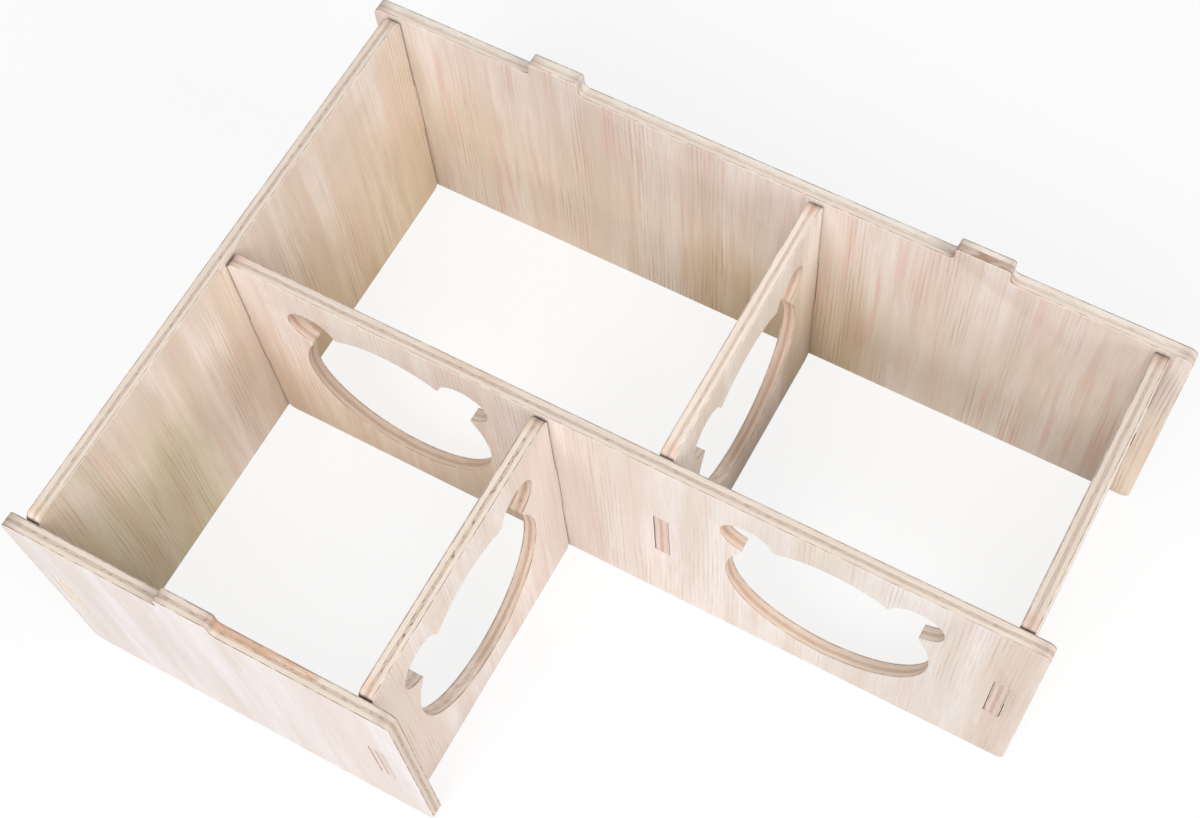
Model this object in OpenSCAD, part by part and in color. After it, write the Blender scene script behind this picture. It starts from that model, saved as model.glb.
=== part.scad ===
// Wooden hamster house, open at the top and the bottom.
// Seven plywood panels slot together with through tenons and enclose three rooms.
// +X runs along the back wall, +Y points to the back and +Z points up.
// The origin is the middle of the footprint, on the surface that the house stands on.

/* [Sheet] */
// Thickness of the plywood
sheet_t = 5; // [3:0.5:7]
// Height of the panels, without the lid tabs
wall_h = 100; // [92:1:150]
// Radius of the panels' corners
corner_r = 3; // [1:0.5:5]

/* [Rooms] */
// Inside width of the back left room
left_room_w = 152; // [146:1:240]
// Inside width of the back right room
right_room_w = 111; // [90:1:200]
// Inside width of the front room
front_room_w = 112; // [90:1:130]
// Inside depth of the two back rooms
back_room_d = 100.5; // [90:0.5:160]
// Inside depth of the front room
front_room_d = 100.5; // [90:0.5:160]

/* [Wall ends] */
// How far the back and front walls run past the left wall
left_overhang = 5.5; // [4:0.5:15]
// How far the back and middle walls run past the end wall
right_overhang = 7; // [4:0.5:15]
// How far the front wall runs past the front divider
front_overhang = 8.5; // [4:0.5:15]

/* [Slot joints] */
// Height of a tenon
tenon_h = 27; // [16:1:40]
// Clearance on each side of a tenon in its slot
slot_gap = 0.2; // [0.1:0.05:0.4]
// Gap between a panel's shoulder and the wall that it meets
shoulder_gap = 0.3; // [0.1:0.05:0.5]

/* [Doorways] */
// Radius of the round doorway
door_r = 35; // [25:1:38]
// Height of the doorway's lowest point above the base
door_sill = 15; // [8:1:16]
// Radius of the two small rounds at the doorway's upper corners
ear_r = 9; // [7:0.5:11]
// How far the small rounds' centres lie outside the doorway's rim
ear_out = 5; // [3:0.5:6]
// Direction of the small rounds above the horizontal
ear_angle = 45; // [40:1:50]
// Radius on the points of wood between the rounds
point_r = 1; // [0.5:0.1:1.5]

/* [Lid tabs] */
// Width of a tab
tab_w = 18.5; // [12:0.5:30]
// Height of a tab above the panel
tab_h = 6; // [4:0.5:10]
// Radius on a tab's upper corners
tab_corner_r = 1; // [0.5:0.1:1.5]
// Radius in the corners between a tab and the panel
tab_fillet_r = 2; // [1:0.5:3]
// Distance between the middles of the back wall's two tabs
back_tab_pitch = 151.5; // [100:0.5:220]

/* [Hidden] */
$fn = 96;
pale = "#e3d0bb";
warm = "#dcc3aa";

// How far a cut runs past the face that it opens, and a boss into what carries it
past = 1;

// How far the round on a point of wood crosses the curves that it runs into
graze = 0.002;

// Outer length and depth of the house
house_l = left_overhang + right_overhang + left_room_w + right_room_w + 3 * sheet_t;
house_d = back_room_d + front_room_d + 3 * sheet_t;

// Panels across X, from the left to the right, each by its left face
left_wall_x = -house_l / 2 + left_overhang;
rooms_x = left_wall_x + sheet_t;
room_divider_x = rooms_x + left_room_w;
right_room_x = room_divider_x + sheet_t;
end_wall_x = right_room_x + right_room_w;
front_divider_x = rooms_x + front_room_w;

// Panels across Y, from the back to the front, each by its front face
back_wall_y = house_d / 2 - sheet_t;
middle_wall_y = back_wall_y - back_room_d - sheet_t;
front_wall_y = middle_wall_y - front_room_d - sheet_t;

// Lengths of the walls that run along X, and where they begin
walls_x = -house_l / 2;
middle_wall_x = rooms_x + shoulder_gap;
middle_wall_l = house_l / 2 - middle_wall_x;
front_wall_l = front_divider_x + sheet_t + front_overhang - walls_x;

// The tenons and slots are centred on the panels' height
tenon_z = (wall_h - tenon_h) / 2;
tenon_l = sheet_t + shoulder_gap;

door_z = door_sill + door_r;
ear_reach = door_r + ear_out;

// Where a circle of radius a round the doorway's centre meets one of radius b round a small round's centre
function meeting(a, b) =
    let (x = (a * a - b * b + ear_reach * ear_reach) / (2 * ear_reach))
    [x, sqrt(a * a - x * x)];

// What lies outside a rounded corner at the origin, of a panel that reaches to +x and +y
module corner_waste(r) {
    difference() {
        translate([-past, -past]) square(r + past);
        translate([r, r]) circle(r);
    }
}

// A panel's plain outline: l long, from x = 0, with four rounded corners
module blank(l) {
    difference() {
        square([l, wall_h]);
        corner_waste(corner_r);
        translate([l, 0]) mirror([1, 0]) corner_waste(corner_r);
        translate([0, wall_h]) mirror([0, 1]) corner_waste(corner_r);
        translate([l, wall_h]) rotate(180) corner_waste(corner_r);
    }
}

// A tenon that leaves the panel's end at x towards +x, or towards -x for side = -1
module tenon(x, side = 1) {
    translate([x - (side < 0 ? tenon_l : past), tenon_z]) square([tenon_l + past, tenon_h]);
}

// The slot for the tenon of a panel whose face lies at x
module slot(x) {
    translate([x - slot_gap, tenon_z - slot_gap]) square([sheet_t + 2 * slot_gap, tenon_h + 2 * slot_gap]);
}

// The sliver that rounds the point of wood between the doorway and a small round on +x
module point_relief() {
    ear_centre = [ear_reach, 0];
    round_centre = meeting(door_r + point_r - graze, ear_r + point_r - graze);
    tip = meeting(door_r, ear_r);
    in_opening = tip + (tip - round_centre) / 2;
    in_door = round_centre * (door_r - point_r) / norm(round_centre);
    to_round = round_centre - ear_centre;
    in_ear = ear_centre + to_round * (ear_r - point_r) / norm(to_round);
    difference() {
        polygon([in_opening, in_door, round_centre, in_ear]);
        translate(round_centre) circle(point_r);
    }
}

// The doorway centred on x: a round opening with a small round at each upper corner
module doorway(x) {
    translate([x, door_z]) {
        circle(door_r);
        for (angle = [ear_angle, 180 - ear_angle]) {
            rotate(angle) {
                translate([ear_reach, 0]) circle(ear_r);
                point_relief();
                mirror([0, 1]) point_relief();
            }
        }
    }
}

// Half of a lid tab, on the side of +x, with its foot's fillet
module half_tab() {
    difference() {
        translate([-past, -past]) square([tab_w / 2 + past, tab_h + past]);
        translate([tab_w / 2, tab_h]) rotate(180) corner_waste(tab_corner_r);
    }
    translate([tab_w / 2, 0]) difference() {
        translate([-past, -past]) square(tab_fillet_r + past);
        translate([tab_fillet_r, tab_fillet_r]) circle(tab_fillet_r);
    }
}

// A tab that stands on the panel's top edge, centred on x, and locates the lid
module lid_tab(x) {
    translate([x, wall_h]) {
        half_tab();
        mirror([1, 0]) half_tab();
    }
}

// Stands a sheet with the outline below along X, its outline's x = 0 at x and its front face at y
module along_x(x, y) {
    translate([x, y + sheet_t, 0]) rotate([90, 0, 0]) linear_extrude(sheet_t) children();
}

// Stands a sheet with the outline below along Y, its outline's x = 0 at y and its left face at x
module along_y(x, y) {
    translate([x, y, 0]) rotate([90, 0, 90]) linear_extrude(sheet_t) children();
}

// A panel between two walls that are span apart, with a tenon at each end
module cross_panel(span) {
    translate([shoulder_gap, 0]) blank(span - 2 * shoulder_gap);
    tenon(shoulder_gap, -1);
    tenon(span - shoulder_gap);
}

module back_wall() {
    color(pale) along_x(walls_x, back_wall_y) difference() {
        union() {
            blank(house_l);
            lid_tab((house_l - back_tab_pitch) / 2);
            lid_tab((house_l + back_tab_pitch) / 2);
        }
        for (x = [left_wall_x, room_divider_x, end_wall_x]) slot(x - walls_x);
    }
}

module left_wall() {
    front_y = front_wall_y + sheet_t;
    color(warm) along_y(left_wall_x, front_y) difference() {
        cross_panel(back_wall_y - front_y);
        slot(middle_wall_y - front_y);
    }
}

module middle_wall() {
    color(pale) along_x(middle_wall_x, middle_wall_y) difference() {
        union() {
            blank(middle_wall_l);
            tenon(0, -1);
        }
        for (x = [front_divider_x, room_divider_x, end_wall_x]) slot(x - middle_wall_x);
        doorway(rooms_x + front_room_w / 2 - middle_wall_x);
        doorway(right_room_x + right_room_w / 2 - middle_wall_x);
    }
}

module front_wall() {
    color(pale) along_x(walls_x, front_wall_y) difference() {
        union() {
            blank(front_wall_l);
            lid_tab(rooms_x + front_room_w / 2 - walls_x);
        }
        for (x = [left_wall_x, front_divider_x]) slot(x - walls_x);
    }
}

module room_divider() {
    color(warm) along_y(room_divider_x, middle_wall_y + sheet_t) difference() {
        cross_panel(back_room_d);
        doorway(back_room_d / 2);
    }
}

module front_divider() {
    color(warm) along_y(front_divider_x, front_wall_y + sheet_t) difference() {
        cross_panel(front_room_d);
        doorway(front_room_d / 2);
    }
}

module end_wall() {
    color(warm) along_y(end_wall_x, middle_wall_y + sheet_t) cross_panel(back_room_d);
}

back_wall();
left_wall();
middle_wall();
front_wall();
room_divider();
front_divider();
end_wall();
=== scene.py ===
import math
import bmesh
import bpy
from mathutils import Matrix, Vector


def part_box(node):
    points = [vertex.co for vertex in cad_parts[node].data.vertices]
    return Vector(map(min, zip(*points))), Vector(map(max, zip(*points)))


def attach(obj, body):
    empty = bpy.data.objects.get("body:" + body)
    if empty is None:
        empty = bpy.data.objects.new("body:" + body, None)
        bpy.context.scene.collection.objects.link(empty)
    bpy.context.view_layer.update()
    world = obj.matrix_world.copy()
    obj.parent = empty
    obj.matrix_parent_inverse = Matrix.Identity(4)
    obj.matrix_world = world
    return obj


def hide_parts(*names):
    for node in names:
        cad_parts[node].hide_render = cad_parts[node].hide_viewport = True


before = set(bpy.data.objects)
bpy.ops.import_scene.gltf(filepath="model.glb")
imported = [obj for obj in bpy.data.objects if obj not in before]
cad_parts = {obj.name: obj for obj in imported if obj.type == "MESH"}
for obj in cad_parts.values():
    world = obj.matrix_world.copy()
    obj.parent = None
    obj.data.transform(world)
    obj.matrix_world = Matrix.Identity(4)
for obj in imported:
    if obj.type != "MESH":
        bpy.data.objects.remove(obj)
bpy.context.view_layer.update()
print("frame: the packed panels are in place")

mm = 0.001


class Signal:    # one output socket, so that maths on it reads like maths
    def __init__(self, tree, socket):
        self.tree = tree
        self.socket = socket

    def maths(self, operation, first, second=0.0):
        return self.tree.node("ShaderNodeMath", {"operation": operation}, {0: first, 1: second})

    def __add__(self, other):
        return self.maths("ADD", self, other)

    def __sub__(self, other):
        return self.maths("SUBTRACT", self, other)

    def __mul__(self, other):
        return self.maths("MULTIPLY", self, other)

    def __truediv__(self, other):
        return self.maths("DIVIDE", self, other)

    def __radd__(self, other):
        return self.maths("ADD", other, self)

    def __rsub__(self, other):
        return self.maths("SUBTRACT", other, self)

    def __rmul__(self, other):
        return self.maths("MULTIPLY", other, self)

    def __rtruediv__(self, other):
        return self.maths("DIVIDE", other, self)

    def __abs__(self):
        return self.maths("ABSOLUTE", self)

    def __lt__(self, other):
        return self.maths("LESS_THAN", self, other)

    def __gt__(self, other):
        return self.maths("GREATER_THAN", self, other)

    def out(self, name):    # another output of the same node
        return Signal(self.tree, findSocket(self.socket.node.outputs, name))


def findSocket(sockets, key):
    if isinstance(key, int):
        return sockets[key]
    return next(socket for socket in sockets if socket.name == key and socket.enabled)


class NodeTree:
    def __init__(self, tree):
        self.tree = tree

    def node(self, kind, settings=None, sockets=None):
        made = self.tree.nodes.new(kind)
        for name, value in (settings or {}).items():
            setattr(made, name, value)
        for key, value in (sockets or {}).items():
            socket = findSocket(made.inputs, key)
            for each in value if isinstance(value, list) else [value]:
                if isinstance(each, Signal):
                    self.tree.links.new(each.socket, socket)
                else:
                    socket.default_value = each
        enabled = [socket for socket in made.outputs if socket.enabled]
        return Signal(self, enabled[0]) if enabled else None

    def product(self, first, second):    # of two colours or places, part by part
        return self.node("ShaderNodeVectorMath", {"operation": "MULTIPLY"}, {0: first, 1: second})

    def noise(self, place, turns, detail=2.0, roughness=0.5):    # turns in a metre, along each axis
        stretched = self.product(place, turns)
        sockets = {"Vector": stretched, "Scale": 1.0, "Detail": detail, "Roughness": roughness}
        return self.node("ShaderNodeTexNoise", {}, sockets)

    def between(self, value, low, high):    # 0 up to low, 1 from high
        sockets = {"Value": value, "From Min": low, "From Max": high}
        return self.node("ShaderNodeMapRange", {"interpolation_type": "SMOOTHSTEP"}, sockets)

    def blend(self, share, first, second):
        settings = {"data_type": "RGBA", "clamp_factor": True}
        return self.node("ShaderNodeMix", settings, {"Factor": share, "A": first, "B": second})


def tint(code):    # a colour as it looks on a screen, as the linear values that sockets take
    parts = [int(code[i:i + 2], 16) / 255 for i in (1, 3, 5)]
    return tuple(c / 12.92 if c <= 0.04045 else ((c + 0.055) / 1.055) ** 2.4 for c in parts) + (1.0,)


camera = {
    "aim": Vector((1.0, 8.7, 50.0)) * mm,
    "distance": 613.7 * mm,
    "azimuth": -56.11,
    "elevation": 65.78,
    "roll": -5.65,
    "lens": 56.93,
    "shift": (-0.0224, 0.0615),
    "clipStart": 20 * mm,
}


def direction(azimuth, elevation):
    a, e = math.radians(azimuth), math.radians(elevation)
    return Vector((math.cos(e) * math.cos(a), math.cos(e) * math.sin(a), math.sin(e)))


def lookFrom(obj, place, aim, roll=0.0):
    facing = (aim - place).to_track_quat("-Z", "Y").to_matrix().to_4x4()
    obj.matrix_world = Matrix.Translation(place) @ facing @ Matrix.Rotation(math.radians(roll), 4, "Z")


def addObject(name, data):
    obj = bpy.data.objects.new(name, data)
    bpy.context.scene.collection.objects.link(obj)
    return obj


def placeCamera():
    data = bpy.data.cameras.new("camera")
    data.lens = camera["lens"]
    data.shift_x, data.shift_y = camera["shift"]
    data.clip_start = camera["clipStart"]
    obj = addObject("camera", data)
    place = camera["aim"] + direction(camera["azimuth"], camera["elevation"]) * camera["distance"]
    lookFrom(obj, place, camera["aim"], camera["roll"])
    bpy.context.scene.camera = obj


studio = {
    "ambient": 0.31,
    "lampDistance": 2.4,
    "lampSize": 1.38,
    "lampAim": Vector((0, 0, 50)) * mm,
    "lamps": {"front": (-90.0, 45.0, 41.9), "side": (-10.0, 30.0, 33.6)},    # azimuth, elevation, watts
    "floorSize": 12.0,
    "floorColour": "#f1f0ef",
    "floorShade": 0.15,    # how much of the shadows the floor keeps
}


def lightStudio():
    world = bpy.data.worlds.new("studio")
    bpy.context.scene.world = world
    world.use_nodes = True
    world.node_tree.nodes.clear()
    tree = NodeTree(world.node_tree)
    ray = tree.node("ShaderNodeLightPath")
    seen = ray.out("Is Camera Ray") + ray.out("Is Glossy Ray")
    white = (1, 1, 1, 1)
    ambient = tree.node("ShaderNodeBackground", {}, {"Color": white, "Strength": studio["ambient"]})
    backdrop = tree.node("ShaderNodeBackground", {}, {"Color": white, "Strength": 1.0})
    mixed = tree.node("ShaderNodeMixShader", {}, {0: seen, 1: ambient, 2: backdrop})
    tree.node("ShaderNodeOutputWorld", {}, {"Surface": mixed})
    for name, (azimuth, elevation, watts) in studio["lamps"].items():
        data = bpy.data.lights.new(name, "AREA")
        data.shape = "DISK"
        data.size = studio["lampSize"]
        data.energy = watts
        place = direction(azimuth, elevation) * studio["lampDistance"]
        lookFrom(addObject(name, data), place, studio["lampAim"])


def layFloor():
    half = studio["floorSize"] / 2
    mesh = bpy.data.meshes.new("floor")
    corners = [(-half, -half, 0), (half, -half, 0), (half, half, 0), (-half, half, 0)]
    mesh.from_pydata(corners, [], [(0, 1, 2, 3)])
    material = bpy.data.materials.new("floor")
    material.use_nodes = True
    material.node_tree.nodes.clear()
    tree = NodeTree(material.node_tree)
    ray = tree.node("ShaderNodeLightPath")
    matt = tree.node("ShaderNodeBsdfDiffuse", {}, {"Color": tint(studio["floorColour"])})
    glow = tree.node("ShaderNodeEmission", {}, {"Color": (1, 1, 1, 1), "Strength": 1.0})
    veil = ray.out("Is Camera Ray") * (1 - studio["floorShade"])
    mixed = tree.node("ShaderNodeMixShader", {}, {0: veil, 1: matt, 2: glow})
    tree.node("ShaderNodeOutputMaterial", {}, {"Surface": mixed})
    mesh.materials.append(material)
    addObject("floor", mesh)


bpy.context.scene.view_settings.view_transform = "Standard"
placeCamera()
lightStudio()
layFloor()
print("studio: camera, softboxes and floor")


veneer = {                        # stains on a panel's own tone
    "cream": "#f5efe8",
    "olive": "#eee9dd",
    "shade": "#e2dccf",
    "pink": "#f2dfd7",
    "fibre": "#e8dbd2",
    "line": "#cdb0a2",
    "pore": "#b89c8c",
    "toneSpan": 150 * mm,         # a panel's tone turns into its far tone over this much beside its middle
    "fibreShare": 0.4,
    "poreShare": 0.7,
    "ripple": 0.8 * mm,           # how far the grain sways on its way up, beside the panel's own drift
    "ringPitch": 1.55 * mm,
    "ringWobble": 1.6,            # in rings
    "depthTurns": 90,             # how fast the grain changes through the sheet, in turns in a metre
    "roughness": 0.62,
    "ringRoughness": 0.1,         # what the dark lines add
    "bump": 0.3,
    "relief": 0.05 * mm,
}
grainPatterns = {                 # pitch across the grain, length along it, and the noise from low to full
    "bands": {"pitch": 11 * mm, "length": 240 * mm, "low": 0.38, "full": 0.62},
    "clouds": {"pitch": 30 * mm, "length": 45 * mm, "low": 0.42, "full": 0.72},
    "broad": {"pitch": 6 * mm, "length": 70 * mm, "low": 0.42, "full": 0.68, "roughness": 0.6},
    "streaks": {"pitch": 2.8 * mm, "length": 55 * mm, "low": 0.5, "full": 0.72},
    "ringZones": {"pitch": 13 * mm, "length": 90 * mm, "low": 0.44, "full": 0.62, "detail": 1.0},
    "wobble": {"pitch": 6 * mm, "length": 90 * mm, "detail": 1.0},
    "breaks": {"pitch": 0.8 * mm, "length": 24 * mm, "low": 0.34, "full": 0.66, "roughness": 0.6},
    "fibres": {"pitch": 0.38 * mm, "length": 14 * mm, "low": 0.42, "full": 0.7, "detail": 3.0,
               "roughness": 0.6},
    "pores": {"pitch": 0.22 * mm, "length": 5 * mm, "low": 0.64, "full": 0.76, "detail": 1.0},
}
core = {                          # the plies of a cut edge, and its stains by how scorched it is; the same level carries painted shade on joints and painted light on doorway rims
    "pale": "#e0d1c2",
    "light": "#eee0d2",
    "tan": "#ccb6a5",
    "glue": "#8d7869",
    "fleck": "#7a6250",
    "greyed": "#e6e3e2",       # a greyer, darker tone at -1, on free corners and lid tabs
    "scorch": "#fbebe2",          # at 1; at 2 it is the panel's own stain for tenon ends
    "burntAndShaded": "#6f5647",           # at 3, on the walls of a joint: scorch darkened further as painted shade for the gaps between parts
    "coreHalf": 0.55 * mm,
    "faceVeneer": 0.36 * mm,
    "outerGlue": 0.19 * mm,       # half the width of the lines under the face veneers
    "innerGlue": 0.1 * mm,        # and of those beside the core
    "sway": 0.8 * mm,             # how far the core strays from the middle
    "patchSoft": 0.6 * mm,        # a patch's soft border through the sheet
    "patchFade": 15 * mm,         # and above its top
    "reliefStart": 0.1 * mm,      # depths under a face where the cut edge starts
    "edgeStart": 0.12 * mm,
    "edgeFull": 0.3 * mm,
}
panelPatterns = {                 # turns in a metre: across the panel, through the sheet and up
    "drift": (9, 40, 5),
    "ripple": (60, 40, 22),
    "waver": (160, 40, 90),
    "coreSway": (45, 10, 45),
    "fibres": (60, 1600, 60),
    "mottle": (240, 1100, 240),
    "clouds": (110, 300, 110),
    "specks": (430, 2600, 430),
}


def panelPlace(tree, centre, alongY):    # x runs across the panel, y through the sheet from its middle, z up
    if alongY:
        turn, shift = -math.pi / 2, (-centre.y, centre.x, 0)
    else:
        turn, shift = 0.0, (-centre.x, -centre.y, 0)
    coordinates = tree.node("ShaderNodeTexCoord").out("Object")
    sockets = {"Vector": coordinates, "Location": shift, "Rotation": (0, 0, turn)}
    return tree.node("ShaderNodeMapping", {}, sockets)


def stretch(tree, across, start, end, soft):    # 1 along one part of the panel
    return tree.between(across, start - soft, start) * (1 - tree.between(across, end, end + soft))


def panelFace(tree, place, parts, looks):
    across, through, up = parts

    # the grain wanders a little on its way up
    drift = tree.noise(place, panelPatterns["drift"], 1.0)
    waver = tree.noise(place, panelPatterns["waver"], 1.0)
    ripple = tree.noise(place, panelPatterns["ripple"], 1.0) + waver * 0.5
    bent = across + (drift - 0.5) * looks["drift"] + ripple * veneer["ripple"] + looks["seed"]
    grain = tree.node("ShaderNodeCombineXYZ", {}, {0: bent, 1: through, 2: up})

    def grainNoise(pattern):
        turns = (1 / pattern["pitch"], veneer["depthTurns"], 1 / pattern["length"])
        return tree.noise(grain, turns, pattern.get("detail", 2.0), pattern.get("roughness", 0.5))

    def grown(name):
        pattern = grainPatterns[name]
        return tree.between(grainNoise(pattern), pattern["low"], pattern["full"])

    # rings are dark lines that break off, and stand out only in some zones
    zones = grown("ringZones")
    broken = grown("breaks")
    turns = bent / veneer["ringPitch"] + grainNoise(grainPatterns["wobble"]) * veneer["ringWobble"]
    ring = tree.between(turns.maths("SINE", turns * math.tau), 0.15, 1.0)
    lines = ring * broken * (zones * 0.9 + 0.1)
    fibre = grown("fibres")
    pores = grown("pores") * zones * broken

    colour = tree.blend(grown("bands"), tint("#ffffff"), tint(veneer["cream"]))
    for stainAndPaintedLight, share in (
            ("olive", grown("clouds") * looks["olive"]), ("shade", grown("broad") * looks["broad"]),
            ("pink", grown("streaks") * looks["pink"]), ("fibre", fibre * veneer["fibreShare"]),
            ("line", lines * looks["lines"]), ("pore", pores * looks["lines"] * veneer["poreShare"])):
        colour = tree.blend(share, colour, tint(veneer[stainAndPaintedLight]))
    # painted shade: tints that darken and yellow the faces towards the foot and where other walls shade them
    for start, end, soft, full, none, stainAndPaintedLight in looks["paintedShade"]:
        paintedShade = stretch(tree, across, start, end, soft) * (1 - tree.between(up, full, none))
        colour = tree.product(colour, tree.blend(paintedShade, (1, 1, 1, 1), tint(stainAndPaintedLight)))
    side = tree.between(across, -veneer["toneSpan"], veneer["toneSpan"])
    tone = tree.blend(side, tint(looks["tone"]), tint(looks.get("farTone", looks["tone"])))
    return tree.product(colour, tone), lines, fibre, pores


def cutEdge(tree, place, parts, deep, looks):    # pale plies on a tan core, with dark glue lines
    across, through, up = parts
    sway = tree.noise(place, panelPatterns["coreSway"], 3.0, 0.6)
    fibres = tree.noise(place, panelPatterns["fibres"], 3.0, 0.6)
    mottle = tree.noise(place, panelPatterns["mottle"], 3.0, 0.6)
    layer = abs(through + looks["coreShift"] + (sway - 0.5) * core["sway"])
    inCore = 1 - tree.between(layer, core["coreHalf"] * 0.5, core["coreHalf"] * 1.35)
    colour = tree.blend(tree.between(fibres, 0.3, 0.75), tint(core["pale"]), tint(core["light"]))
    colour = tree.blend(inCore * (0.55 + tree.between(fibres, 0.3, 0.65) * 0.35), colour, tint(core["tan"]))

    cloudy = tree.between(tree.noise(place, panelPatterns["clouds"], 2.0, 0.6), 0.35, 0.6) * 0.7 + 0.3
    for start, end, soft, top, strength, side, stainAndPaintedLight in looks["patches"]:
        patch = stretch(tree, across, start, end, soft) * cloudy
        patch = patch * tree.between(through * side, -core["patchSoft"], 0.0)
        patch = patch * (1 - tree.between(up, top, top + core["patchFade"]))
        colour = tree.blend(patch * strength, colour, tint(stainAndPaintedLight))

    # scorched plies show fewer dark specks
    scorch = tree.node("ShaderNodeAttribute", {"attribute_name": "scorch"}).out("Fac")
    specks = tree.between(tree.noise(place, panelPatterns["specks"], 2.0, 0.6), 0.52, 0.62)
    specks = specks * (1 - tree.between(scorch, 0.0, 0.2) * 0.65)
    colour = tree.blend(inCore * specks * looks["flecks"], colour, tint(core["fleck"]))

    def glueLine(distance, half):
        return (1 - tree.between(abs(distance), half * 0.4, half)) * tree.between(mottle, 0.3, 0.6)

    outer = glueLine(deep - core["faceVeneer"], core["outerGlue"])
    inner = glueLine(layer - core["coreHalf"], core["innerGlue"])
    colour = tree.blend((outer + inner * 0.5) * looks["glue"], colour, tint(core["glue"]))

    # the level holds scorch, painted shade on joint walls and painted light on doorway rims
    singedAndShaded = scorch * (0.5 + tree.between(mottle, 0.35, 0.65) * 0.5)
    stainAndPaintedLight = tree.blend(singedAndShaded, (1, 1, 1, 1), tint(core["scorch"]))
    stainAndPaintedLight = tree.blend(scorch * -1.0, stainAndPaintedLight, tint(core["greyed"]))
    stainAndPaintedLight = tree.blend(tree.between(scorch, 1.0, 2.0), stainAndPaintedLight, tint(looks["tip"]))
    colour = tree.product(colour, stainAndPaintedLight)
    colour = tree.blend(tree.between(scorch, 2.0, 3.0), colour, tint(core["burntAndShaded"]))
    scaled = {0: colour, "Scale": looks["edge"]}
    return tree.node("ShaderNodeVectorMath", {"operation": "SCALE"}, scaled), fibres


def makePlywood(name, centre, alongY, looks):
    material = bpy.data.materials.new(name)
    material.use_nodes = True
    material.node_tree.nodes.clear()
    tree = NodeTree(material.node_tree)
    place = panelPlace(tree, centre, alongY)
    split = tree.node("ShaderNodeSeparateXYZ", {}, {0: place})
    parts = split.out("X"), split.out("Y"), split.out("Z")
    deep = sheetThickness / 2 - abs(parts[1])    # 0 on the two faces
    face, lines, fibre, pores = panelFace(tree, place, parts, looks)
    edge, fibres = cutEdge(tree, place, parts, deep, looks)
    colour = tree.blend(tree.between(deep, core["edgeStart"], core["edgeFull"]), face, edge)
    rough = fibres * tree.between(deep, core["reliefStart"], core["edgeFull"])
    height = fibre * 0.4 - pores * 0.5 + rough
    sockets = {"Strength": veneer["bump"], "Distance": veneer["relief"], "Height": height}
    bump = tree.node("ShaderNodeBump", {}, sockets)
    roughness = veneer["roughness"] + lines * veneer["ringRoughness"]
    sockets = {"Base Color": colour, "Roughness": roughness, "Normal": bump, "IOR": 1.45}
    shader = tree.node("ShaderNodeBsdfPrincipled", {}, sockets)
    tree.node("ShaderNodeOutputMaterial", {}, {"Surface": shader})
    return material


sheet = {
    "ease": 0.32 * mm,            # radius on the long edges
    "easeSteps": 4,
    "glueLines": (0.12, 0.38, 0.62, 0.88),    # shares of the thickness
    "grooveDepth": 0.05 * mm,
    "grooveHalf": 0.07 * mm,
    "wander": 0.06 * mm,          # how far the saw strays into the wood
    "wanderTurns": 90.0,          # in a metre
    "pointPitch": 4 * mm,         # spacing of the outline's points along straight runs
    "facet": 1.2 * mm,            # and along arcs
    "arcTurn": 15.0,              # the most that an arc turns in a facet
    "weld": 0.001 * mm,
    "sharpAngle": 34.0,
    "cornerRadius": 3 * mm,
    "cornerScorch": 1.4,          # where a corner meets a wall
    "freeScorch": -1.0,           # where it meets none
    "longRun": 10 * mm,           # where an edge goes further along the panel, a corner's scorch fades
}
joint = {
    "tenonHeight": 27 * mm,
    "slotGap": 0.2 * mm,
    "shoulderGap": 0.3 * mm,
    "cornerRadius": 0.25 * mm,
    "ease": 0.4,                  # a share of the sheet's
    "tipScorch": 2.0,
    # the walls of a joint take this level: scorch together with painted shade of the gaps between parts
    "wallScorchAndShade": 3.0,
}
doorway = {
    "radius": 35 * mm,
    "sill": 15 * mm,
    "earRadius": 9 * mm,
    "earOut": 5 * mm,
    "earAngle": 45.0,
    "pointRadius": 1 * mm,
    "ease": 0.5,                  # a share of the sheet's
    "scorch": 0.65,
    "paintedLightFade": 0.4,            # painted light: so much less scorch on the side taken as lit, and more on the other
}
lidTab = {
    "width": 18.5 * mm,
    "cornerRadius": 1 * mm,
    "footRadius": 2 * mm,
    "backPitch": 151.5 * mm,
}


def arc(centre, radius, start, sweep):
    byLength = math.ceil(abs(sweep) * radius / sheet["facet"])
    byTurn = math.ceil(abs(sweep) / math.radians(sheet["arcTurn"]))
    facets = max(2, byLength, byTurn)
    angles = [start + sweep * i / facets for i in range(facets + 1)]
    return [centre + Vector((math.cos(a), math.sin(a))) * radius for a in angles]


def roundedLoop(corners):    # each corner is its place, its radius and how scorched it is, with painted shade at joint walls
    points = []
    for i, (here, radius, scorch) in enumerate(corners):
        arriving = (here - corners[i - 1][0]).normalized()
        leaving = (corners[(i + 1) % len(corners)][0] - here).normalized()
        turn = math.atan2(arriving.x * leaving.y - arriving.y * leaving.x, arriving.dot(leaving))
        start = here - arriving * radius * math.tan(abs(turn) / 2)
        inwards = Vector((-arriving.y, arriving.x)) * math.copysign(1, turn)
        centre = start + inwards * radius
        points += [(p, scorch) for p in arc(centre, radius, math.atan2(-inwards.y, -inwards.x), turn)]
    return points


def circleChain(circles):    # a loop of arcs on circles that touch, each with its way round: 1 or -1
    points = []
    for i, (centre, radius, way) in enumerate(circles):
        before, after = circles[i - 1], circles[(i + 1) % len(circles)]
        first, last = before[0] - centre, after[0] - centre
        start = math.atan2(first.y, first.x)
        sweep = (way * (math.atan2(last.y, last.x) - start)) % math.tau * way
        points += arc(centre, radius, start, sweep)[:-1]
    return points


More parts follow.
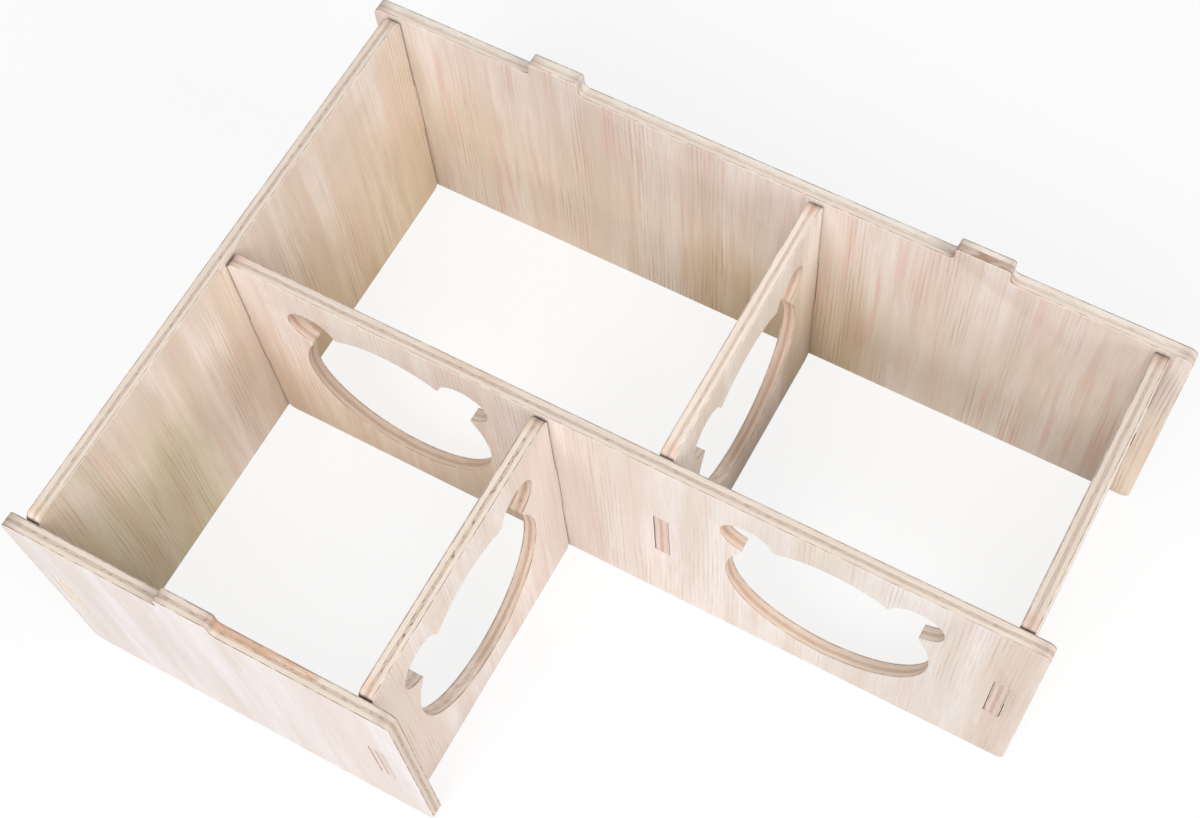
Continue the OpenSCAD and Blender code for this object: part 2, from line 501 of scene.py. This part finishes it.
def doorwayLoop(middle, paintedLightSide):
    reach = doorway["radius"] + doorway["earOut"]
    door = Vector((middle, doorway["sill"] + doorway["radius"]))

    # a small round point touches the door's circle and the ear's on each side of the ear
    point = doorway["pointRadius"]
    toDoor, toEar = doorway["radius"] + point, doorway["earRadius"] + point
    along = (toDoor ** 2 - toEar ** 2 + reach ** 2) / (2 * reach)
    aside = math.sqrt(toDoor ** 2 - along ** 2)
    circles = []
    for angle in (doorway["earAngle"], 180 - doorway["earAngle"]):
        turned = Matrix.Rotation(math.radians(angle), 2)
        circles += [
            (door, doorway["radius"], 1),
            (door + turned @ Vector((along, -aside)), point, -1),
            (door + turned @ Vector((reach, 0)), doorway["earRadius"], 1),
            (door + turned @ Vector((along, aside)), point, -1),
        ]
    # painted light: the rim's scorch falls across the doorway, paler on the lit side
    slope = doorway["paintedLightFade"] * paintedLightSide / doorway["radius"]
    return [(p, doorway["scorch"] - slope * (p - door).x) for p in reversed(circleChain(circles))]


def slotLoop(low, high, bottom, top):
    corners = [(low, bottom), (low, top), (high, top), (high, bottom)]
    return roundedLoop([(Vector(c), joint["cornerRadius"], joint["wallScorchAndShade"]) for c in corners])


def panelLoop(low, high, height, tenons, tabs, tabHeight):    # each corner: along, up, radius, and scorch with painted shade where it meets a wall
    tenonBottom = (height - joint["tenonHeight"]) / 2
    tenonTop = tenonBottom + joint["tenonHeight"]
    length = sheetThickness + joint["shoulderGap"]
    small, tip = joint["cornerRadius"], joint["tipScorch"]
    corner = sheet["cornerRadius"]
    right = [
        (high, tenonBottom, small, 0), (high + length, tenonBottom, small, tip),
        (high + length, tenonTop, small, tip), (high, tenonTop, small, 0)]
    left = [
        (low, tenonTop, small, 0), (low - length, tenonTop, small, tip),
        (low - length, tenonBottom, small, tip), (low, tenonBottom, small, 0)]
    singedAndShaded = [sheet["cornerScorch" if tenon else "freeScorch"] for tenon in tenons]
    free = sheet["freeScorch"]
    corners = [(low, 0, corner, singedAndShaded[0]), (high, 0, corner, singedAndShaded[1])]
    corners += right if tenons[1] else []
    corners += [(high, height, corner, singedAndShaded[1])]
    half, foot, shoulder = lidTab["width"] / 2, lidTab["footRadius"], lidTab["cornerRadius"]
    for tab in sorted(tabs, reverse=True):
        corners += [
            (tab + half, height, foot, free / 2), (tab + half, height + tabHeight, shoulder, free),
            (tab - half, height + tabHeight, shoulder, free), (tab - half, height, foot, free / 2)]
    corners += [(low, height, corner, singedAndShaded[0])]
    corners += left if tenons[0] else []
    loop = roundedLoop([(Vector((u, v)), radius, scorch) for u, v, radius, scorch in corners])
    ends = [end for end, tenon in zip((low, high), tenons) if tenon]

    def nearWall(p):    # 1 at an end that meets a wall, 0 from a corner's radius off; there the end is darkened as painted shade for the gap
        return max([0.0] + [1 - abs(p.x - end) / corner for end in ends])

    return [(p, scorch + (joint["wallScorchAndShade"] - scorch) * nearWall(p) ** 2) for p, scorch in loop]


def subdivided(loop):    # points along straight runs, so that the saw can stray and a scorch can fade
    points = []
    for i, (here, scorch) in enumerate(loop):
        after, nextScorchAndShade = loop[(i + 1) % len(loop)]
        steps = max(1, round((after - here).length / sheet["pointPitch"]))
        fades = abs(after.x - here.x) > sheet["longRun"] and max(scorch, nextScorchAndShade) < joint["tipScorch"]
        for step in range(steps):
            share = step / steps
            level = 0.0 if fades and step else scorch + (nextScorchAndShade - scorch) * share
            points.append((here.lerp(after, share), level))
    return points


def store(mesh, name, kind, values):
    attribute = mesh.attributes.new(name, kind, "POINT")
    attribute.data.foreach_set("vector" if kind == "FLOAT_VECTOR" else "value", values)


def wireMesh(name, loops):    # the outlines as loose edges, with what the sheet's tree reads on their points
    places, edges, outward, scorchAndShadeLevels, eases = [], [], [], [], []
    for loop, ease in loops:
        loop = subdivided(loop)
        first = len(places)
        count = len(loop)
        for i, (here, scorch) in enumerate(loop):
            before = (here - loop[i - 1][0]).normalized()
            after = (loop[(i + 1) % count][0] - here).normalized()
            sides = [Vector((before.y, -before.x)), Vector((after.y, -after.x))]
            mitre = (sides[0] + sides[1]) / (1 + sides[0].dot(sides[1]))
            places.append((here.x, here.y, 0))
            outward += [mitre.x, mitre.y, 0]
            scorchAndShadeLevels.append(scorch)
            eases.append(ease)
            edges.append((first + i, first + (i + 1) % count))
    mesh = bpy.data.meshes.new(name)
    mesh.from_pydata(places, edges, [])
    store(mesh, "seat", "FLOAT_VECTOR", [part for place in places for part in place])
    store(mesh, "outward", "FLOAT_VECTOR", outward)
    store(mesh, "scorch", "FLOAT", scorchAndShadeLevels)
    store(mesh, "easeShare", "FLOAT", eases)
    return mesh


def profileMesh(thickness):    # the section of a cut edge, from one face to the other
    steps = sheet["easeSteps"]
    angles = [math.pi / 2 * i / steps for i in range(steps + 1)]
    rounding = [(1 - math.sin(a), 1 - math.cos(a)) for a in angles]
    section = [(d * sheet["ease"], r * sheet["ease"], 0.0) for d, r in rounding]
    for line in sheet["glueLines"]:
        anchor = line * thickness
        half = sheet["grooveHalf"]
        section += [(0, -half, anchor), (sheet["grooveDepth"], 0, anchor), (0, half, anchor)]
    section += [(d * sheet["ease"], -r * sheet["ease"], thickness) for d, r in reversed(rounding)]
    mesh = bpy.data.meshes.new("edgeSection")
    places = [(depth, rise + anchor, 0) for depth, rise, anchor in section]
    mesh.from_pydata(places, [(i, i + 1) for i in range(len(section) - 1)], [])
    for index, name in enumerate(("depth", "rise", "anchor")):
        store(mesh, name, "FLOAT", [row[index] for row in section])
    return mesh


def cutSheetTree():
    group = bpy.data.node_groups.new("cutSheet", "GeometryNodeTree")
    for name, kind, way in (
            ("Outlines", "NodeSocketGeometry", "INPUT"), ("Edge section", "NodeSocketObject", "INPUT"),
            ("Thickness", "NodeSocketFloat", "INPUT"), ("Wander", "NodeSocketFloat", "INPUT"),
            ("Wood", "NodeSocketMaterial", "INPUT"), ("Sheet", "NodeSocketGeometry", "OUTPUT")):
        group.interface.new_socket(name, in_out=way, socket_type=kind)
    tree = NodeTree(group)
    given = tree.node("NodeGroupInput")

    def named(name, kind="FLOAT"):
        return tree.node("GeometryNodeInputNamedAttribute", {"data_type": kind}, {"Name": name})

    def vectors(operation, first, second):
        key = "Scale" if operation == "SCALE" else 1
        return tree.node("ShaderNodeVectorMath", {"operation": operation}, {0: first, key: second})

    path = tree.node("GeometryNodeMeshToCurve", {}, {"Mesh": given.out("Outlines")})
    section = tree.node("GeometryNodeObjectInfo", {}, {"Object": given.out("Edge section")})
    section = tree.node("GeometryNodeMeshToCurve", {}, {"Mesh": section.out("Geometry")})
    rim = tree.node("GeometryNodeCurveToMesh", {}, {"Curve": path, "Profile Curve": section})
    share, seat = named("easeShare"), named("seat", "FLOAT_VECTOR")
    sockets = {"Vector": seat, "Scale": sheet["wanderTurns"], "Detail": 2.0}
    stray = tree.node("ShaderNodeTexNoise", {}, sockets)
    depth = named("depth") * share + stray * given.out("Wander")
    height = tree.node("ShaderNodeCombineXYZ", {}, {2: named("anchor") + named("rise") * share})
    inwards = vectors("SCALE", named("outward", "FLOAT_VECTOR"), depth)
    place = vectors("ADD", vectors("SUBTRACT", seat, inwards), height)
    rim = tree.node("GeometryNodeSetPosition", {}, {"Geometry": rim, "Position": place})

    # the rim's lower border, where an edge has one face only, gives both sides of the panel
    faces = tree.node("GeometryNodeInputMeshEdgeNeighbors")
    level = tree.node("ShaderNodeSeparateXYZ", {}, {0: tree.node("GeometryNodeInputPosition")}).out("Z")
    low = level < given.out("Thickness") / 2
    border = tree.node("FunctionNodeBooleanMath", {"operation": "AND"}, {0: faces < 1.5, 1: low})
    border = tree.node("GeometryNodeMeshToCurve", {}, {"Mesh": rim, "Selection": border})
    front = tree.node("GeometryNodeFillCurve", {"mode": "NGONS"}, {"Curve": border})
    lift = tree.node("ShaderNodeCombineXYZ", {}, {2: given.out("Thickness")})
    back = tree.node("GeometryNodeSetPosition", {}, {"Geometry": front, "Offset": lift})
    front = tree.node("GeometryNodeFlipFaces", {}, {"Mesh": front})
    closed = tree.node("GeometryNodeJoinGeometry", {}, {"Geometry": [rim, front, back]})
    closed = tree.node("GeometryNodeMergeByDistance", {}, {"Geometry": closed, "Distance": sheet["weld"]})
    closed = tree.node("GeometryNodeRealizeInstances", {}, {"Geometry": closed})
    closed = tree.node("GeometryNodeSetMaterial", {}, {"Geometry": closed, "Material": given.out("Wood")})
    tree.node("NodeGroupOutput", {}, {"Sheet": closed})
    return group


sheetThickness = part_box("left_wall")[1].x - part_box("left_wall")[0].x
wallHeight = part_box("left_wall")[1].z
frontMiddle = (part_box("left_wall")[1].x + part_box("front_divider")[0].x) / 2
cuttingTree = cutSheetTree()
sectionObject = addObject("edgeSection", profileMesh(sheetThickness))

# paintedLightSide: the side where its doorways' rims are painted paler, as painted light, with less scorch,
# 1 towards the panel's high end or -1 towards its low end
# In the looks, places run along a panel from its middle, and heights go up from the floor.
# paintedShade: painted shade on the faces, a yellower and darker tint over a stretch of a panel that changes
# with height, by start, end, soft border, height of full strength, height of none and colour
# patches: stains on the cut edge, and near-white patches of painted light on the dividers' doorway rims, by
# start, end, soft border, top, strength, side or 0 for both, and colour
panels = {
    "back_wall": {
        "body": "back",
        "tenons": (False, False),
        "slotsFor": ("left_wall", "room_divider", "end_wall"),
        "tabs": (-lidTab["backPitch"] / 2, lidTab["backPitch"] / 2),
        "looks": {
            "tone": "#e8ddd7", "seed": 0.31, "drift": 5 * mm,
            "pink": 0.9, "lines": 0.65, "olive": 0.6, "broad": 0.3,
            "paintedShade": (
                (-150 * mm, 150 * mm, 14 * mm, 45 * mm, 90 * mm, "#fffff8"),
                (-20 * mm, 38 * mm, 14 * mm, 20 * mm, 65 * mm, "#f8f3e3"),
                (139 * mm, 150 * mm, 3 * mm, 85 * mm, 20 * mm, "#e3e4e5"),
            ),
            "edge": 0.96, "coreShift": 0.1 * mm, "glue": 0.9, "flecks": 0.1, "tip": "#e7dddf",
            "patches": (
                (-150 * mm, 150 * mm, 3 * mm, 110 * mm, 0.8, 1, "#eee6dd"),
                (66.5 * mm, 85 * mm, 3 * mm, 110 * mm, 0.95, -1, "#a98670"),
            ),
        },
    },
    "left_wall": {
        "body": "carcass",
        "alongY": True,
        "tenons": (True, True),
        "slotsFor": ("middle_wall",),
        "looks": {
            "tone": "#eee2d8", "seed": 0.77, "drift": 8 * mm,
            "pink": 0.5, "lines": 0.5, "olive": 1.0, "broad": 0.6,
            "paintedShade": (
                (-110 * mm, -84 * mm, 10 * mm, 75 * mm, 40 * mm, "#f0f1e9"),
                (-110 * mm, -45 * mm, 14 * mm, 50 * mm, 90 * mm, "#faffef"),
                (25 * mm, 110 * mm, 14 * mm, 5 * mm, 90 * mm, "#fffceb"),
            ),
            "edge": 0.97, "coreShift": 0.2 * mm, "glue": 0.8, "flecks": 0.5, "tip": "#ffffff",
            "patches": (),
        },
    },
    "middle_wall": {
        "body": "carcass",
        "tenons": (True, False),
        "slotsFor": ("front_divider", "room_divider", "end_wall"),
        "doorways": (("left_wall", "front_divider"), ("room_divider", "end_wall")),
        "paintedLightSide": 1,
        "looks": {
            "tone": "#ede2dc", "farTone": "#d6d0cc", "seed": 1.43, "drift": 4 * mm,
            "pink": 0.5, "lines": 0.42, "olive": 0.2, "broad": 0.2,
            "paintedShade": (
                (-145 * mm, -32 * mm, 14 * mm, 5 * mm, 90 * mm, "#fff7e8"),
                (129 * mm, 150 * mm, 9 * mm, 110 * mm, 200 * mm, "#f9f3ee"),
            ),
            "edge": 0.95, "coreShift": 0.2 * mm, "glue": 0.75, "flecks": 0.4, "tip": "#e7dddf",
            "patches": ((-60 * mm, -36 * mm, 3 * mm, 110 * mm, 0.35, 1, "#d3a98c"),),
        },
    },
    "front_wall": {
        "body": "front",
        "tenons": (False, False),
        "slotsFor": ("left_wall", "front_divider"),
        "tabs": (frontMiddle,),
        "looks": {
            "tone": "#ddd7d7", "seed": 2.2, "drift": 4 * mm,
            "pink": 0.15, "lines": 0.15, "olive": 0.1, "broad": 0.2,
            "paintedShade": (),
            "edge": 0.945, "coreShift": 0.0, "glue": 1.0, "flecks": 0.5, "tip": "#e7dddf",
            "patches": ((8 * mm, 41 * mm, 3 * mm, 110 * mm, 0.9, 1, "#d3a98c"),),
        },
    },
    "room_divider": {
        "body": "carcass",
        "alongY": True,
        "tenons": (True, True),
        "doorways": (("middle_wall", "back_wall"),),
        "paintedLightSide": -1,
        "looks": {
            "tone": "#eae3dc", "seed": 3.1, "drift": 4 * mm,
            "pink": 0.5, "lines": 0.4, "olive": 0.2, "broad": 0.2,
            "paintedShade": ((32 * mm, 60 * mm, 12 * mm, 55 * mm, 100 * mm, "#f1e9de"),),
            "edge": 1.09, "coreShift": 0.1 * mm, "glue": 0.65, "flecks": 0.3, "tip": "#e5d8da",
            # painted light: a near-white patch on the doorway rim towards the panel's low end
            "patches": ((-37 * mm, -14 * mm, 12 * mm, 78 * mm, 1.0, 0, "#fffaf4"),),
        },
    },
    "front_divider": {
        "body": "carcass",
        "alongY": True,
        "tenons": (True, True),
        "doorways": (("front_wall", "middle_wall"),),
        "paintedLightSide": -1,
        "looks": {
            "tone": "#dfd6d1", "seed": 4.6, "drift": 4 * mm,
            "pink": 0.5, "lines": 0.45, "olive": 0.2, "broad": 0.2,
            "paintedShade": (),
            "edge": 1.0, "coreShift": 0.1 * mm, "glue": 1.0, "flecks": 0.9, "tip": "#ebe6eb",
            # painted light: a near-white patch on the doorway rim towards the panel's low end
            "patches": ((-37 * mm, -12 * mm, 12 * mm, 78 * mm, 1.0, 0, "#fff8f0"),),
        },
    },
    "end_wall": {
        "body": "carcass",
        "alongY": True,
        "tenons": (True, True),
        "looks": {
            "tone": "#e2d9d0", "seed": 5.9, "drift": 4 * mm,
            "pink": 0.5, "lines": 0.5, "olive": 0.2, "broad": 0.2,
            "paintedShade": (),
            "edge": 0.92, "coreShift": 0.0, "glue": 0.85, "flecks": 0.25, "tip": "#e7dddf",
            "patches": (),
        },
    },
}


def panelOutlines(name, panel):    # measured along the panel from the low end of its box
    low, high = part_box(name)
    axis = 1 if panel.get("alongY") else 0
    origin = low[axis]
    tenon = sheetThickness + joint["shoulderGap"]
    start = tenon if panel["tenons"][0] else 0.0
    end = high[axis] - origin - (tenon if panel["tenons"][1] else 0.0)
    tabs = [tab - origin for tab in panel.get("tabs", ())]
    rim = panelLoop(start, end, wallHeight, panel["tenons"], tabs, high.z - wallHeight)
    loops = [(rim, 1.0)]
    bottom = (wallHeight - joint["tenonHeight"]) / 2 - joint["slotGap"]
    for other in panel.get("slotsFor", ()):
        near, far = (corner[axis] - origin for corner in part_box(other))
        slot = slotLoop(near - joint["slotGap"], far + joint["slotGap"], bottom, wallHeight - bottom)
        loops.append((slot, joint["ease"]))
    for before, after in panel.get("doorways", ()):
        middle = (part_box(before)[1][axis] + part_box(after)[0][axis]) / 2 - origin
        loops.append((doorwayLoop(middle, panel["paintedLightSide"]), doorway["ease"]))
    return loops


def setInput(modifier, name, value):
    items = modifier.node_group.interface.items_tree
    modifier[next(item.identifier for item in items if item.name == name)] = value


def makePanel(name, panel):
    low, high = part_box(name)
    alongY = panel.get("alongY", False)
    wood = makePlywood(name + "_wood", (low + high) / 2, alongY, panel["looks"])
    wire = addObject("wire_" + name, wireMesh("wire_" + name, panelOutlines(name, panel)))
    modifier = wire.modifiers.new("cutSheet", "NODES")
    modifier.node_group = cuttingTree
    setInput(modifier, "Edge section", sectionObject)
    setInput(modifier, "Thickness", sheetThickness)
    setInput(modifier, "Wander", sheet["wander"])
    setInput(modifier, "Wood", wood)
    depsgraph = bpy.context.evaluated_depsgraph_get()
    mesh = bpy.data.meshes.new_from_object(wire.evaluated_get(depsgraph), depsgraph=depsgraph)
    bpy.data.objects.remove(wire)
    if alongY:
        origin, columns = (low.x, low.y, low.z), ((0, 1, 0), (0, 0, 1), (1, 0, 0))
    else:
        origin, columns = (low.x, high.y, low.z), ((1, 0, 0), (0, 0, 1), (0, -1, 0))
    mesh.transform(Matrix.Translation(origin) @ Matrix(columns).transposed().to_4x4())
    finishMesh(mesh, 0 if alongY else 1)
    piece = addObject(name + "_ply", mesh)
    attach(piece, panel["body"])
    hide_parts(name)
    return piece


def finishMesh(mesh, axis):    # outward faces, flat sides and smooth cut edges
    straight = 0.9999    # from here a face's normal is that of a side
    work = bmesh.new()
    work.from_mesh(mesh)
    bmesh.ops.recalc_face_normals(work, faces=work.faces)
    for face in work.faces:
        face.smooth = abs(face.normal[axis]) < straight
    work.to_mesh(mesh)
    work.free()
    mesh.set_sharp_from_angle(angle=math.radians(sheet["sharpAngle"]))
    for name in ("seat", "outward", "easeShare", "depth", "rise", "anchor"):
        mesh.attributes.remove(mesh.attributes[name])


for name, panel in panels.items():
    piece = makePanel(name, panel)
    print("panel:", piece.name, len(piece.data.polygons), "faces")
bpy.data.objects.remove(sectionObject)

print("finish")
